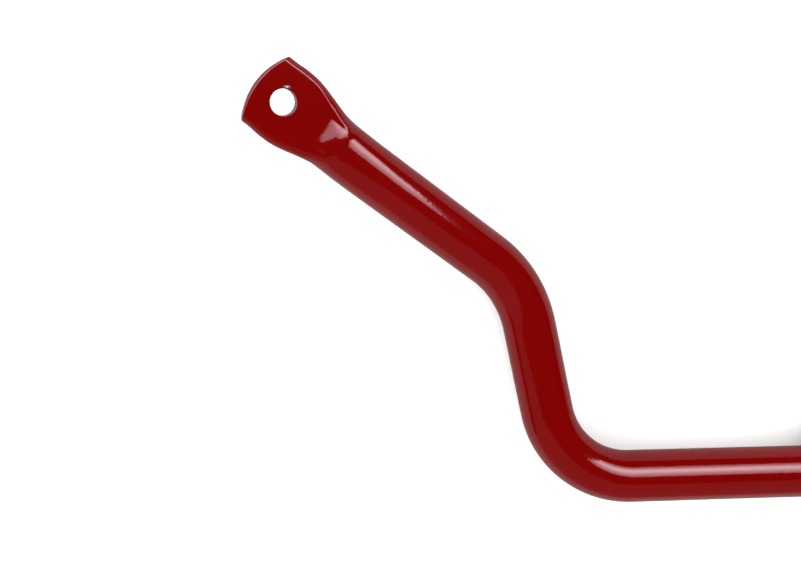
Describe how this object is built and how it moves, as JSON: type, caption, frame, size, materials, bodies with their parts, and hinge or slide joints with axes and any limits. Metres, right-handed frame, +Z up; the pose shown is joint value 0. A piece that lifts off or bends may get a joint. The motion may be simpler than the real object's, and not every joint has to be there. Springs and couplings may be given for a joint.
{
  "type": "sway bar",
  "caption": "Hollow red sway bar with bent arms and flattened eyes, held in bushings under strap brackets, with stop collars",
  "frame": {"origin": "centre of the four chassis bolt holes, at the underside of the base plates; both eyes' elbows touch the same plane", "axes": "+Z up, away from the chassis face; +X along the bar to its right end; +Y from the straight centre section towards the eyes"},
  "size_m": [1.1624, 0.3037, 0.0644],
  "materials": {
    "red_powder_coat": "gloss",
    "black_polyurethane": "satin",
    "zinc_plate": "satin",
    "fitting_plate": "satin",
    "ball_steel": "gloss",
    "black_oxide": "satin",
    "black_oxide_screws": "satin"
  },
  "bodies": {
    "chassis_mounts": {"left_base_plate": "zinc_plate", "right_base_plate": "zinc_plate", "left_bushing": "black_polyurethane", "right_bushing": "black_polyurethane", "left_bracket": "zinc_plate", "right_bracket": "zinc_plate", "left_grease_fitting": "fitting_plate", "right_grease_fitting": "fitting_plate", "left_check_spring": "ball_steel", "right_check_spring": "ball_steel"},
    "left_bar": {"bar_left": "red_powder_coat", "left_collar_front": "black_oxide", "left_collar_rear": "black_oxide", "left_collar_screws": "black_oxide_screws"},
    "right_bar": {"bar_right": "red_powder_coat", "right_collar_front": "black_oxide", "right_collar_rear": "black_oxide", "right_collar_screws": "black_oxide_screws"},
    "left_ball": {"left_check_ball": "ball_steel"},
    "right_ball": {"right_check_ball": "ball_steel"}
  },
  "joints": [
    {"name": "bar_swing", "type": "hinge", "parent": "chassis_mounts", "child": "left_bar", "pos_m": [0, 0, 0.02485], "axis": [1, 0, 0], "range_deg": [-25, 25]},
    {"name": "bar_twist", "type": "hinge", "parent": "left_bar", "child": "right_bar", "pos_m": [0, 0, 0.02485], "axis": [1, 0, 0], "range_deg": [-12, 12], "stiffness_Nm_per_rad": 7600},
    {"name": "left_grease_check", "type": "slide", "parent": "chassis_mounts", "child": "left_ball", "axis": [0, 0, 1], "range_m": [-0.0012, 0], "stiffness_N_per_m": 300, "springref_m": 0.002, "deforming": ["left_check_spring"]},
    {"name": "right_grease_check", "type": "slide", "parent": "chassis_mounts", "child": "right_ball", "axis": [0, 0, 1], "range_m": [-0.0012, 0], "stiffness_N_per_m": 300, "springref_m": 0.002, "deforming": ["right_check_spring"]}
  ]
}
